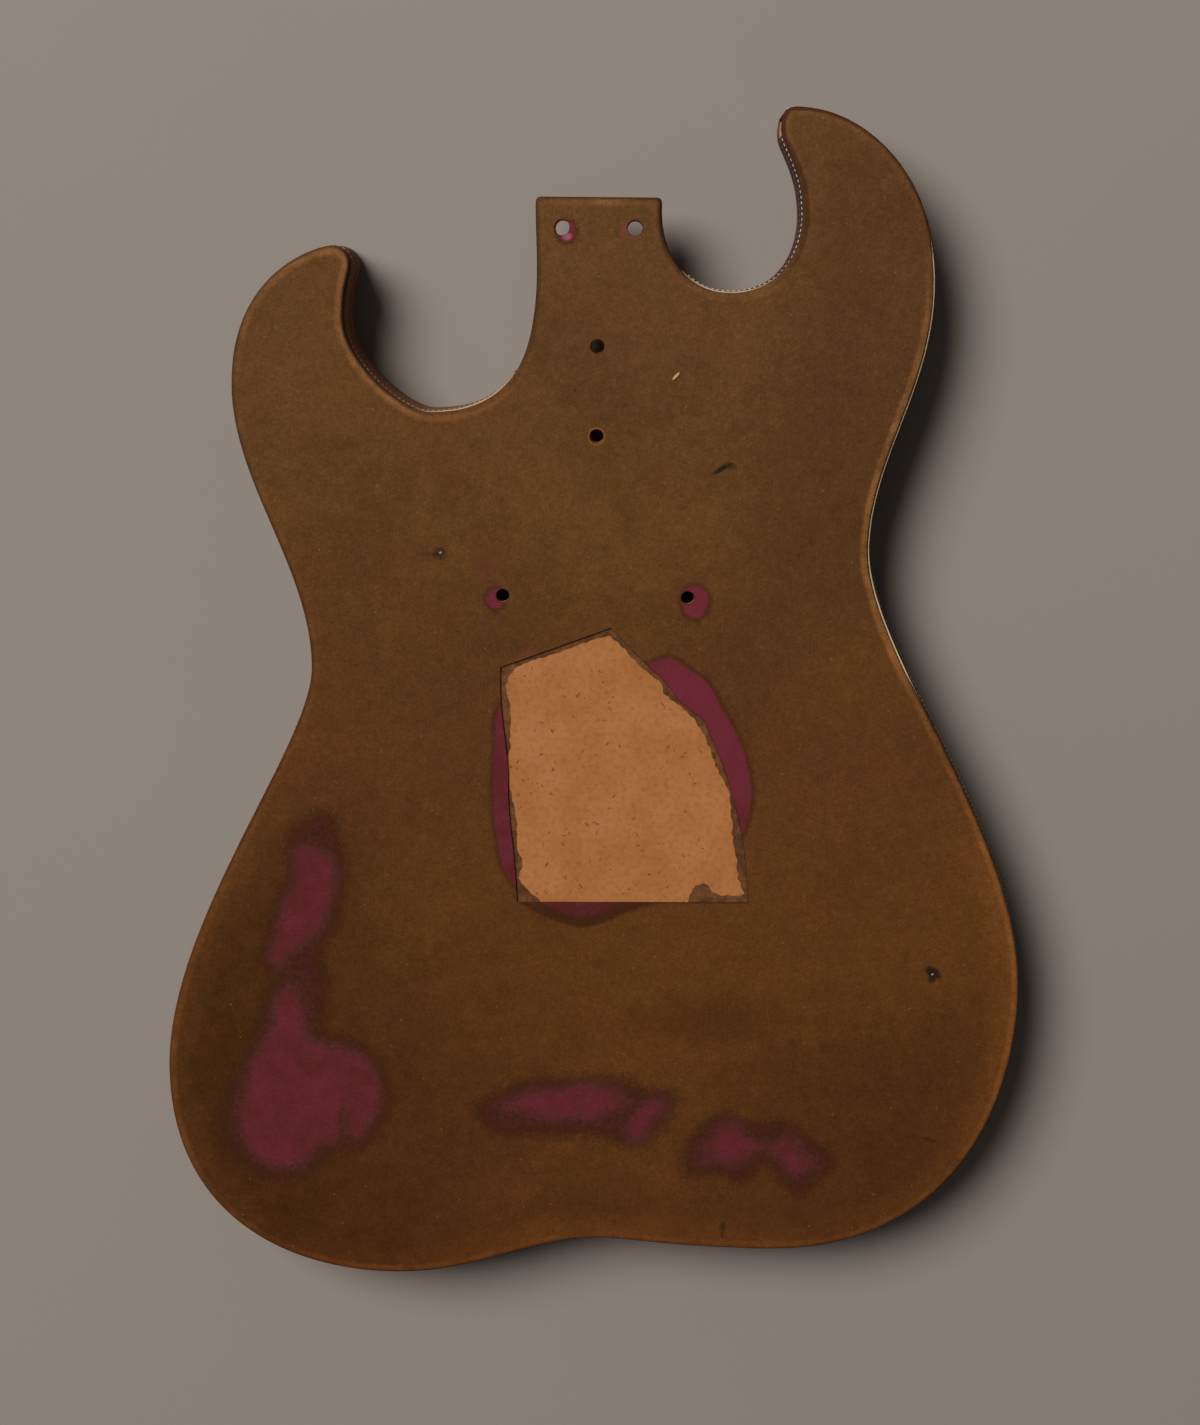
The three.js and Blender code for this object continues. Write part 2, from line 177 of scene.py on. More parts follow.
lamp = bpy.data.lights.new("window", "AREA")
lamp.shape = "DISK"
lamp.size = LAMP_SIZE
lamp.energy = LAMP_POWER
lamp.color = LAMP_COLOUR
window = bpy.data.objects.new("window", lamp)
window.location = LAMP_PLACE
window.rotation_euler = (-Vector(LAMP_PLACE)).to_track_quat("-Z", "Y").to_euler()
bpy.context.scene.collection.objects.link(window)

room = bpy.data.worlds.new("room")
room.use_nodes = True
room.node_tree.nodes["Background"].inputs["Color"].default_value = ROOM_COLOUR
room.node_tree.nodes["Background"].inputs["Strength"].default_value = ROOM_LEVEL
bpy.context.scene.world = room


# The softwood frame: the neck block, bridge block, horn blocks, rails and tail
# block, planed spruce in bare honey cream, glued between the two boards.
GRAIN_ACROSS = ("bridge_block", "tail_block", "bass_tail_rail", "treble_tail_rail")


def softwood(name, turn):
    """Bare spruce with its grain along Y, or along X when turned."""
    material, tree, surface = finish_with(name, 0.62)
    # Growth rings, drawn out along the grain and bent a little
    bend = cloudy(tree, 0.05, 2, place(tree, turn, (1, 0.15, 1)))
    drawn = place(tree, turn, (1, 0.06, 1))
    lines = put(tree, "Mapping", {0: drawn, "Rotation": (0, 0.3, 0)}).outputs[0]
    lines = put(tree, "VectorMath", {0: lines, 1: bend}, operation="ADD").outputs[0]
    rings = put(tree, "TexWave", {"Vector": lines, "Scale": 95, "Distortion": 1.2, "Detail": 2.0})
    late = between(tree, rings.outputs["Fac"], 0.55, 0.95)
    fibre = cloudy(tree, 0.0006, 2, place(tree, turn, (1, 0.04, 1)))
    colour = blend(tree, late, paint(196, 166, 118), paint(158, 118, 72))
    colour = blend(tree, between(tree, fibre, 0.35, 0.75, 0, 0.35), colour, paint(122, 88, 54))
    amber = between(tree, cloudy(tree, 0.03), 0.4, 0.8, 0, 0.3)
    colour = blend(tree, amber, colour, paint(170, 132, 84))
    tree.links.new(colour, surface.inputs["Base Color"])
    relief(tree, surface, fibre, 0.00012)
    return material


lengthwise = softwood("spruce_lengthwise", 0)
crosswise = softwood("spruce_crosswise", 90)
for name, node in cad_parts.items():
    if name.endswith(("_block", "_rail")):
        put_on(node, crosswise if name in GRAIN_ACROSS else lengthwise)


# The back board: tempered hardboard, tan with dark fibres pressed in every
# direction. It shows where the felt is cut away, and it keeps its CAD solid.
FIBRE_LAYERS = ((12, 9, 0.28), (58, 10, 0.34), (101, 7, 0.2), (139, 8, 0.3), (-33, 6, 0.18))


def hardboard(name, face, dark, pale):
    """Pressed wood fibre: a soft cloudy tan, fine pulp grain and scattered dark fibres."""
    material, tree, surface = finish_with(name, 0.75)
    surface.inputs["Specular IOR Level"].default_value = 0.2
    clouds = between(tree, cloudy(tree, 0.014, 4), 0.3, 0.7)
    colour = blend(tree, clouds, paint(*face), paint(*pale))
    specks = between(tree, cloudy(tree, 0.0022, 3), 0.4, 0.75, 0, 0.4)
    colour = blend(tree, specks, colour, paint(*dark))
    pulp = cloudy(tree, 0.0006, 2)
    colour = blend(tree, between(tree, pulp, 0.5, 0.8, 0, 0.25), colour, paint(*dark))
    # Each layer of dark fibres has its slant in degrees, and its cell and thickness in
    # millimetres: one drawn-out dot lies in each cell
    for turn, cell, thick in FIBRE_LAYERS:
        where = place(tree, turn, (0.36, 1, 1), (turn * 0.001, 0, 0))
        wave = put(tree, "VectorMath", {0: cloudy(tree, 0.002, 2), "Scale": 0.001}, operation="SCALE")
        where = put(tree, "VectorMath", {0: where, 1: wave.outputs[0]}, operation="ADD").outputs[0]
        cells = {"Vector": where, "Scale": 1000 / cell}
        cells = put(tree, "TexVoronoi", cells, voronoi_dimensions="2D")
        ink = between(tree, cells.outputs["Distance"], 1.5 * thick / cell, 0.5 * thick / cell)
        ink = sums(tree, "MULTIPLY", ink, between(tree, cloudy(tree, 0.011, 2), 0.4, 0.62, 0.1, 0.8))
        colour = blend(tree, ink, colour, paint(84, 48, 24))
    tree.links.new(colour, surface.inputs["Base Color"])
    relief(tree, surface, sums(tree, "ADD", pulp, cloudy(tree, 0.0018, 2)), 0.00005)
    return material


tan_hardboard = hardboard("tan_hardboard", (158, 99, 55), (126, 76, 38), (170, 109, 63))
put_on(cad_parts["back_board"], tan_hardboard)


# The front board: the same hardboard in a darker pressing, 3.2 mm thick, its lower
# edge rounded over, cut for the neck, the pickup, the bridge screws and the controls.
FRONT_THICKNESS = 3.2 * MM
FRONT_EDGE_RADIUS = 2.4 * MM
FRONT_EDGE_STEPS = 6
OUTLINE_STEP = 1.5 * MM


def cad_loops(name, height):
    """The outlines of a node's flat faces at that height, the longest first, as arrays of x and y."""
    shape = bmesh.new()
    shape.from_mesh(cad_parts[name].data)
    bmesh.ops.remove_doubles(shape, verts=shape.verts, dist=0.001 * MM)
    level = {f for f in shape.faces
             if abs(f.normal.z) > 0.99 and abs(f.calc_center_median().z - height) < 0.02 * MM}
    left = {e for f in level for e in f.edges if sum(other in level for other in e.link_faces) == 1}
    left = sorted(left, key=lambda e: e.index)
    open_edges = set(left)
    loops = []
    for edge in left:
        if edge not in open_edges:
            continue
        open_edges.discard(edge)
        first, here = edge.verts
        loop = [first.co.xy, here.co.xy]
        while True:
            onward = [e for e in here.link_edges if e in open_edges]
            if not onward:
                break
            open_edges.discard(onward[0])
            here = onward[0].other_vert(here)
            if here is first:
                break
            loop.append(here.co.xy)
        loop = np.array(loop)
        turned = np.roll(loop, -1, axis=0)
        if (loop[:, 0] * turned[:, 1] - turned[:, 0] * loop[:, 1]).sum() < 0:
            loop = loop[::-1]
        loops.append(loop)
    shape.free()
    return sorted(loops, key=lambda loop: -np.hypot(*(np.roll(loop, -1, axis=0) - loop).T).sum())


def bend_through(four, share):
    """A point that share of the way from the second to the third of four points, on a smooth curve."""
    knots = np.cumsum([0] + [math.sqrt(np.hypot(*(q - p))) for p, q in zip(four, four[1:])])
    here = knots[1] + (knots[2] - knots[1]) * share

    def reach(points, first, last):
        part = (here - knots[first]) / (knots[last] - knots[first])
        return points[0] + (points[1] - points[0]) * part

    near = [reach(four[i:i + 2], i, i + 1) for i in range(3)]
    wide = [reach(near[i:i + 2], i, i + 2) for i in range(2)]
    return reach(wide, 1, 2)


def fair(loop, step=OUTLINE_STEP, corner=35):
    """The loop drawn with a smooth curve through its points. Sharp corners and long straights stay."""
    count = len(loop)
    span = np.roll(loop, -1, axis=0) - loop
    length = np.hypot(*span.T)
    heading = np.arctan2(span[:, 1], span[:, 0])
    turn = np.degrees(np.abs((heading - np.roll(heading, 1) + np.pi) % (2 * np.pi) - np.pi))
    points = []
    for i in range(count):
        four = [loop[i - 1], loop[i], loop[(i + 1) % count], loop[(i + 2) % count]]
        sharp = turn[i] > corner, turn[(i + 1) % count] > corner
        shares = np.arange(max(1, round(length[i] / step)))
        shares = shares / len(shares)
        if all(sharp) or length[i] > 3 * max(length[i - 1], length[(i + 1) % count]):
            points.extend(four[1] + span[i] * share for share in shares)
            continue
        if sharp[0]:
            four[0] = 2 * four[1] - four[2]
        if sharp[1]:
            four[3] = 2 * four[2] - four[1]
        points.extend(bend_through(four, share) for share in shares)
    return np.array(points)


def depth_in(points, loop, reach=20 * MM):
    """How far each point lies inside the loop, in metres, up to reach: below 0 outside it."""
    span = np.roll(loop, -1, axis=0) - loop
    square = (span ** 2).sum(1)
    rise = np.where(span[:, 1] == 0, 1, span[:, 1])
    least, most = np.minimum(loop, loop + span), np.maximum(loop, loop + span)
    result = np.empty(len(points))
    for first in range(0, len(points), 400):
        some = points[first:first + 400]
        low, high = some.min(axis=0), some.max(axis=0)
        near = (most > low - reach).all(1) & (least < high + reach).all(1)
        gap = some[:, None, :] - loop[near]
        share = np.clip((gap * span[near]).sum(2) / square[near], 0, 1)
        away = np.sqrt(((gap - share[..., None] * span[near]) ** 2).sum(2)).min(axis=1, initial=reach)
        level = (most[:, 1] >= low[1]) & (least[:, 1] <= high[1])
        gap = some[:, None, :] - loop[level]
        crosses = (gap[..., 1] < 0) != (gap[..., 1] < span[level, 1])
        left_of = gap[..., 0] < gap[..., 1] / rise[level] * span[level, 0]
        inside = (crosses & left_of).sum(1) % 2 == 1
        result[first:first + 400] = np.where(inside, away, -away)
    return result


def inset(loop, distance):
    """The loop moved inwards, point for point. Where it would cross itself it closes to a corner."""
    back, ahead = loop - np.roll(loop, 1, axis=0), np.roll(loop, -1, axis=0) - loop
    back /= np.hypot(*back.T)[:, None]
    ahead /= np.hypot(*ahead.T)[:, None]
    way = back + ahead
    way /= np.hypot(*way.T)[:, None]
    inward = np.stack([-way[:, 1], way[:, 0]], axis=1)
    if np.ndim(distance):
        return loop + inward * distance[:, None]
    moved = loop + inward * distance
    if distance <= 0:
        return moved
    count = len(loop)
    kept = depth_in(moved, loop) >= distance * 0.985
    bad = ~kept
    if kept.all() or bad.all():
        return moved
    for _ in range(4):
        bad = bad | np.roll(bad, 1) | np.roll(bad, -1)
    starts = [i for i in range(count) if bad[i] and not bad[i - 1]]
    for first in starts:
        run = [first - 1]
        while bad[(run[-1] + 1) % count]:
            run.append(run[-1] + 1)
        run.append(run[-1] + 1)
        track = np.array([moved[i % count] for i in run if kept[i % count]])
        far = np.concatenate([[0], np.cumsum(np.hypot(*np.diff(track, axis=0).T))])
        even = np.linspace(0, far[-1], len(run))
        for i, reached in zip(run, even):
            moved[i % count] = [np.interp(reached, far, track[:, axis]) for axis in (0, 1)]
    return moved


def lay(shape, loop, height):
    """A closed ring of edges on the loop at that height. Each point keeps its number in "turn"."""
    number = shape.verts.layers.int.get("turn") or shape.verts.layers.int.new("turn")
    points = [shape.verts.new((x, y, height)) for x, y in loop]
    for i, point in enumerate(points):
        point[number] = i
    return [shape.edges.new((points[i - 1], points[i])) for i in range(len(points))]


def draw_out(shape, edges, loop, height):
    """Extrudes a ring of edges to the loop at that height, or at each point's own: the new edges."""
    number = shape.verts.layers.int["turn"]
    heights = np.broadcast_to(height, len(loop))
    made = bmesh.ops.extrude_edge_only(shape, edges=edges)["geom"]
    for point in (part for part in made if isinstance(part, bmesh.types.BMVert)):
        point.co = (*loop[point[number]], heights[point[number]])
    ends = {part for part in made if isinstance(part, bmesh.types.BMVert)}
    return [part for part in made if isinstance(part, bmesh.types.BMEdge) and set(part.verts) <= ends]


def piece_from(shape, name, material, smooth=40):
    """A finished piece on the fixed body: normals outwards, smooth but for its sharp edges."""
    bmesh.ops.recalc_face_normals(shape, faces=shape.faces)
    mesh = bpy.data.meshes.new(name)
    shape.to_mesh(mesh)
    shape.free()
    mesh.polygons.foreach_set("use_smooth", [True] * len(mesh.polygons))
    mesh.set_sharp_from_angle(angle=math.radians(smooth))
    piece = bpy.data.objects.new(name, mesh)
    bpy.context.scene.collection.objects.link(piece)
    put_on(piece, material)
    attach(piece, "root")
    return piece


def round_hole(loop, sides=40):
    """The true circle that a hole's polygon stands for."""
    centre = loop.mean(axis=0)
    radius = np.hypot(*(loop - centre).T).max()
    angles = np.arange(sides) * 2 * np.pi / sides
    return centre + radius * np.stack([np.cos(angles), np.sin(angles)], axis=1)


def is_round(loop):
    """True if every point of the loop lies at one distance from its middle."""
    away = np.hypot(*(loop - loop.mean(axis=0)).T)
    return np.ptp(away) < 0.05 * MM


outline, *openings = cad_loops("front_board", FRONT_THICKNESS)
outline = fair(outline)
openings = [round_hole(loop) if is_round(loop) else fair(loop) for loop in openings]
shape = bmesh.new()
rim = lay(shape, outline, FRONT_THICKNESS)
walls = [lay(shape, loop, FRONT_THICKNESS) for loop in openings]
bmesh.ops.triangle_fill(shape, use_beauty=True, edges=rim + sum(walls, []))
rim = draw_out(shape, rim, outline, FRONT_EDGE_RADIUS)
for step in range(1, FRONT_EDGE_STEPS + 1):
    angle = math.pi / 2 * step / FRONT_EDGE_STEPS
    ring = inset(outline, FRONT_EDGE_RADIUS * (1 - math.cos(angle)))
    rim = draw_out(shape, rim, ring, FRONT_EDGE_RADIUS * (1 - math.sin(angle)))
walls = [draw_out(shape, wall, loop, 0) for wall, loop in zip(walls, openings)]
bmesh.ops.triangle_fill(shape, use_beauty=True, edges=rim + sum(walls, []))
front_hardboard = hardboard("brown_hardboard", (92, 58, 34), (62, 39, 24), (104, 67, 40))
front = piece_from(shape, "front_hardboard", front_hardboard)
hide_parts("front_board")


# The felt: wine-red wool felt, 1 mm thick, drawn over the rounded edge of the back board
# and glued down. Daylight has faded it to olive brown, except where something covered it,
# and a piece was cut out of its middle by hand.
FELT_TOP = 38.4 * MM
FELT_FOOT = 34.5 * MM
FELT_BEND = 35.0 * MM
FELT_RIM_INSET = 3.2 * MM
FELT_RIM_STEPS = 10
# Drawn a little thinner than it is, so that it clears the board and the glue under it
FELT_THICKNESS = 0.72 * MM
FELT_GRID = 2.2 * MM
FELT_SHORT = 0.5 * MM
FELT_SQUARENESS = 0.48

# In millimetres: the crisp edge of what lay over the middle and kept the light off
COVERED_MIDDLE = (
    (22, 22), (30, 24.5), (38, 20), (46, 14), (51, 5), (57, -5), (61, -15), (64, -27), (64, -36),
    (62, -45), (56, -56), (40, -68), (20, -75), (9, -79), (3, -82), (-5, -83.5), (-12, -82),
    (-20, -78.5), (-30, -72), (-36, -64), (-39, -52), (-40.5, -35), (-40, -12), (-38, 4), (-20, 14),
    (5, 18),
)
# Ragged places that stayed wine: their bright middles, and the half-faded dusk round them
BRIGHT_PLACES = (
    ((-121, -57), (-115, -57), (-107, -61), (-106, -69), (-108, -80), (-112, -90), (-119, -96),
     (-126, -102), (-129, -106), (-132, -103), (-129, -92), (-127, -82), (-122, -73), (-121, -65)),
    ((-125, -115), (-131, -122), (-132, -130), (-136, -140), (-141, -149), (-144, -161), (-146, -170),
     (-144, -181), (-139, -190), (-130, -193), (-121, -192), (-114, -182), (-107, -182), (-105, -172),
     (-103, -164), (-101, -177), (-97, -180), (-93, -174), (-88, -166), (-89, -156), (-93, -147),
     (-101, -142), (-111, -140), (-118, -137), (-119, -128), (-122, -119)),
    ((-38, -165), (-30, -162), (-24, -159), (-12, -158), (-3, -155), (8, -157), (16, -163), (8, -166),
     (2, -170), (-8, -170), (-17, -170), (-26, -168)),
    ((26, -162), (31, -162), (30, -166), (25, -171), (22, -178), (17, -179), (17, -171), (21, -166)),
    ((46, -182), (52, -178), (54, -172), (62, -172), (65, -178), (71, -180), (79, -179), (87, -178),
     (87, -184), (94, -187), (90, -191), (84, -192), (79, -186), (72, -183), (66, -185), (60, -189),
     (54, -187), (46, -189), (52, -184)),
)
DUSKY_PLACES = (
    ((-123, -60), (-121, -51), (-115, -45), (-109, -43), (-106, -50), (-103, -62), (-104, -76),
     (-107, -88), (-114, -101), (-111, -113), (-113, -121), (-126, -117), (-128, -109), (-133, -105),
     (-132, -94), (-127, -78), (-123, -68)),
    ((-127, -114), (-134, -124), (-138, -139), (-144, -152), (-152, -168), (-152, -178), (-144, -190),
     (-133, -196), (-118, -193), (-105, -183), (-94, -181), (-86, -168), (-87, -154), (-94, -142),
     (-108, -137), (-115, -133), (-112, -123), (-118, -116)),
    ((-46, -168), (-36, -160), (-24, -156), (-6, -154.5), (12, -155), (22, -159), (33, -160),
     (30, -168), (25, -176), (19, -180), (8, -176), (-8, -175), (-24, -176), (-38, -175)),
    ((42, -182), (48, -174), (56, -169), (66, -172), (80, -173), (90, -178), (100, -188), (93, -194),
     (87, -200), (80, -192), (72, -187), (64, -195), (52, -190), (43, -192)),
)
# Spots beside the screw holes, under lost washers: middle, half width and half height
COVERED_SPOTS = ((-39.8, 47.5), 3.6, 4.2), ((40.0, 47.1), 5.3, 6.7), ((-12.4, 191.6), 3.5, 3.9)
# Places along the rim (x and y): how much paler it is there, from wear and, on the right side, painted
# light; how much darker its edge is with painted shade; and how much dye its edge has kept
RIM_WEAR_AND_LIGHT = (
    (125, 185, 0.1, 0.0, 0.0), (142, 130, 0.9, 0.0, 0.0), (125, 85, 0.9, 0.0, 0.0),
    (110, 60, 0.9, 0.0, 0.0), (140, -20, 0.4, 0.0, 0.0), (176, -110, 0.4, 0.0, 0.0),
    (150, -190, 0.3, 0.0, 0.1), (70, -225, 0.25, 0.0, 0.1), (0, -224, 0.1, 0.0, 0.1),
    (-80, -240, 0.45, 0.0, 0.1), (-150, -210, 0.35, 0.0, 0.0), (-176, -150, 0.35, 0.0, 0.0),
    (-150, -60, 0.2, 0.0, 0.1), (-114, 20, 0.1, 0.1, 0.0), (-145, 130, 0.1, 0.15, 0.0),
    (-120, 180, 0.5, 0.0, 0.0), (-80, 130, 0.45, -0.25, 0.1), (-60, 122, 0.4, 0.1, 0.1),
    (-25, 150, 0.0, 0.2, 0.0), (-25, 195, 0.0, 0.2, 0.0), (0, 205, 0.5, 0.0, 0.0),
    (25, 190, 0.0, 0.4, 0.0), (40, 169, 0.2, 0.0, 0.0), (60, 171, 0.2, 0.0, 0.0),
    (78, 190, 0.0, 0.35, 0.0), (78, 215, 0.0, 0.4, 0.1), (71, 228, 0.25, 0.1, 0.7),
    (76, 239, 0.25, 0.0, 0.8), (95, 238, 0.2, 0.0, 0.5), (110, 225, 0.15, 0.0, 0.1),
)


def oval(middle, wide, tall, sides=16):
    """An oval outline in millimetres."""
    angles = np.arange(sides) * 2 * np.pi / sides
    return np.array(middle) + np.stack([wide * np.cos(angles), tall * np.sin(angles)], axis=1)


cut_out, *screw_holes = cad_loops("back_felt", FELT_TOP)[1:]
outline = fair(cad_loops("back_felt", FELT_FOOT)[0])
cut_out = fair(cut_out, corner=24)
screw_holes = [round_hole(loop) for loop in screw_holes]
top_edge = inset(outline, FELT_RIM_INSET)

# The flat of the felt: a grid of squares, and triangles from there to each edge
low, high = top_edge.min(axis=0), top_edge.max(axis=0)
columns, rows = (int(round(side / FELT_GRID)) for side in high - low)
shape = bmesh.new()
bmesh.ops.create_grid(shape, x_segments=columns, y_segments=rows, size=0.5)
bmesh.ops.scale(shape, verts=shape.verts, vec=(*(high - low), 1))
bmesh.ops.translate(shape, verts=shape.verts, vec=(*((high + low) / 2), FELT_TOP))
places = np.array([v.co.xy for v in shape.verts])
clear = depth_in(places, top_edge)
for loop in (cut_out, *screw_holes):
    clear = np.minimum(clear, -depth_in(places, loop))
outer = [v for v, room_left in zip(shape.verts, clear) if room_left < 0.7 * FELT_GRID]
bmesh.ops.delete(shape, geom=outer, context="VERTS")
while True:
    pinched = [v for v in shape.verts
               if sum(e.is_boundary for e in v.link_edges) > 2 or not v.link_faces]
    if not pinched:
        break
    bmesh.ops.delete(shape, geom=pinched, context="VERTS")
borders = [e for e in shape.edges if e.is_boundary]
rim = lay(shape, top_edge, FELT_TOP)
walls = [lay(shape, loop, FELT_TOP) for loop in (cut_out, *screw_holes)]
bmesh.ops.triangle_fill(shape, use_beauty=True, edges=borders + rim + sum(walls, []))


def tape_shows(loop, neck_to=0.085):
    """From 0 to 1 along the outline: where the felt is trimmed short and the tape's edge shows."""
    x, y = loop.T
    beside_neck = (y > 0.1) & (y < 0.222) & (x > -0.066) & (x < neck_to) & (np.abs(x) > 0.028)
    long_side = (x > 0.1) & (y > 0.01) & (y < 0.195)
    shows = (beside_neck | long_side).astype(float)
    half = 7
    round_once = np.concatenate([shows[-half:], shows, shows[:half]])
    return np.convolve(round_once, np.ones(2 * half + 1) / (2 * half + 1), mode="valid")


def ramp(values, start, end):
    """Goes from 0 to 1 while the values go from start to end."""
    return np.clip((values - start) / (end - start), 0, 1)


# The rim, drawn down over the rounded edge to its foot: the stiff felt turns a squarer corner
trim = FELT_SHORT * tape_shows(outline) * (1 + 1.2 * ramp(outline[:, 0], 0.09, 0.11))
for step in range(FELT_RIM_STEPS - 1, -1, -1):
    angle = math.pi / 2 * step / FELT_RIM_STEPS
    out, rise = math.cos(angle) ** FELT_SQUARENESS, math.sin(angle) ** FELT_SQUARENESS
    ring = inset(inset(outline, FELT_RIM_INSET * (1 - out)), trim * out)
    rim = draw_out(shape, rim, ring, FELT_BEND + (FELT_TOP - FELT_BEND) * rise)
rim = draw_out(shape, rim, inset(outline, trim), FELT_FOOT)
bmesh.ops.recalc_face_normals(shape, faces=shape.faces)
bmesh.ops.solidify(shape, geom=shape.faces[:], thickness=FELT_THICKNESS)
bmesh.ops.triangulate(shape, faces=[f for f in shape.faces if len(f.verts) > 4])

felt_cloth, tree, surface = finish_with("faded_wine_felt", 0.95)
felt = piece_from(shape, "felt", felt_cloth, smooth=60)


def measure(piece, name, values):
    """Keeps one number in millimetres at each point of the piece, for its material to read."""
    kept = piece.data.attributes.new(name, "FLOAT", "POINT")
    kept.data.foreach_set("value", np.asarray(values, dtype=np.float32))


def deepest(points, places, step=2 * MM):
    """How far each point lies inside the nearest of some smooth outlines in millimetres."""
    return np.max([depth_in(points, fair(np.array(loop) * MM, step, 180)) for loop in places], axis=0)


points = np.array([v.co.xy for v in felt.data.vertices])
nearest = np.array([np.argmin(((outline - point) ** 2).sum(1)) for point in points])
rim_table = np.array(RIM_WEAR_AND_LIGHT)
marks = np.array([np.argmin(((outline - spot * MM) ** 2).sum(1)) for spot in rim_table[:, :2]])
for column, name in ((2, "worn_and_lit"), (3, "dark"), (4, "dyed")):
    measure(felt, name, np.interp(nearest, marks, rim_table[:, column], period=len(outline)))
measure(felt, "trimmed", tape_shows(outline)[nearest])
measure(felt, "from_edge", depth_in(points, outline) / MM)
measure(felt, "from_cut", -depth_in(points, cut_out) / MM)
measure(felt, "from_hole", -np.max([depth_in(points, loop) for loop in screw_holes], axis=0) / MM)
measure(felt, "bright", deepest(points, BRIGHT_PLACES) / MM)
measure(felt, "dusky", deepest(points, DUSKY_PLACES) / MM)
covers = [COVERED_MIDDLE, *(oval(*spot) for spot in COVERED_SPOTS)]
measure(felt, "covered", deepest(points, covers, MM) / MM)


def kept(tree, name):
    """A number kept in the piece's points."""
    return put(tree, "Attribute", attribute_name=name).outputs["Fac"]


def wander(tree, size, reach, detail=3):
    """A shift of up to about that many millimetres either way, to make an edge ragged."""
    unsure = sums(tree, "SUBTRACT", cloudy(tree, size, detail, roughness=0.65), 0.5)
    return sums(tree, "MULTIPLY", unsure, 4 * reach)


def smudge(tree, middle, wide, tall, turn=0, soft=0.5, strength=1.0):
    """A soft oval mark on the felt: middle and half sizes in millimetres."""
    here = put(tree, "Mapping", {
        0: place(tree), "Location": (middle[0] * MM, middle[1] * MM, FELT_TOP),
        "Rotation": (0, 0, math.radians(turn)), "Scale": (wide * MM, tall * MM, 0.02),
    }, vector_type="TEXTURE").outputs[0]
    away = put(tree, "VectorMath", {0: here}, operation="LENGTH").outputs["Value"]
    away = sums(tree, "ADD", away, sums(tree, "MULTIPLY", wander(tree, 0.0015, 0.25), soft))
    return between(tree, away, 1 + soft, 1 - soft, 0, strength)


def shade(tree, colour, level):
    """The colour made lighter or darker: it stays where level is 1."""
    return put(tree, "VectorMath", {0: colour, "Scale": level}, operation="SCALE").outputs[0]


def axes_of(tree):
    """The three coordinates of a point on the object, in metres."""
    return put(tree, "SeparateXYZ", {0: place(tree)}).outputs


# Colour by place, darker towards the bottom: palest by the neck, darkest in the lower left lobe
x, y, _ = axes_of(tree)
tone_by_place = put(tree, "ValToRGB", {0: between(tree, y, -0.24, 0.24, smooth=False)})
stops = (
    (0.0, (78, 45, 22)), (0.083, (83, 51, 27)), (0.19, (86, 53, 28)), (0.29, (90, 57, 30)),
    (0.458, (88, 56, 32)), (0.56, (88, 58, 33)), (0.667, (91, 62, 36)), (0.81, (92, 63, 39)),
    (1.0, (98, 69, 42)),
)
for share, _ in stops[1:-1]:
    tone_by_place.color_ramp.elements.new(share)
for element, (share, tone) in zip(tone_by_place.color_ramp.elements, stops):
    element.position, element.color = share, paint(*tone)
colour = tone_by_place.outputs[0]
# Darker towards a side: where that starts and is full in x, then in y, and by how much
for in_x, in_y, less in (((0.0, -0.14), (0.02, -0.1), 0.3), ((0.05, 0.1), (0.02, 0.08), 0.16),
                         ((0.04, 0.13), (-0.12, -0.2), 0.12), ((-0.1, -0.16), (-0.07, -0.12), 0.12)):
    share = sums(tree, "MULTIPLY", between(tree, x, *in_x), between(tree, y, *in_y))
    colour = shade(tree, colour, sums(tree, "MULTIPLY_ADD", share, -less, 1.0))
lobe = smudge(tree, (128, -152), 28, 26, 0, 0.9, 0.2)
colour = shade(tree, colour, sums(tree, "SUBTRACT", 1.0, lobe))
near_rim = between(tree, kept(tree, "from_edge"), 17, 3)
near_rim = sums(tree, "MULTIPLY", near_rim, between(tree, y, -0.02, -0.08, 0, 0.32))
colour = shade(tree, colour, sums(tree, "ADD", near_rim, 1.0))
olive = cloudy(tree, 0.03, 3, roughness=0.6)
colour = blend(tree, between(tree, olive, 0.5, 0.68, 0, 0.16), colour, paint(88, 60, 26))
colour = blend(tree, between(tree, olive, 0.5, 0.32, 0, 0.2), colour, paint(96, 56, 32))
for size, detail, depth in ((0.05, 4, 0.11), (0.008, 3, 0.07), (0.0022, 3, 0.07), (0.0009, 2, 0.1)):
    clouds = cloudy(tree, size, detail, roughness=0.6)
    colour = shade(tree, colour, between(tree, clouds, 0.3, 0.7, 1 - depth, 1 + depth, smooth=False))
# Wool fibres lying three ways
for turn in (25, 85, 150):
    fibre = cloudy(tree, 0.0007, 2, place(tree, turn, (0.16, 1, 1)))
    colour = shade(tree, colour, between(tree, fibre, 0.35, 0.7, 0.96, 1.07))
cells = put(tree, "TexVoronoi", {"Vector": place(tree), "Scale": 1000 / 26}, voronoi_dimensions="2D")
lint = between(tree, cells.outputs["Distance"], 0.018, 0.008, 0, 0.4)
colour = blend(tree, lint, colour, paint(140, 104, 64))
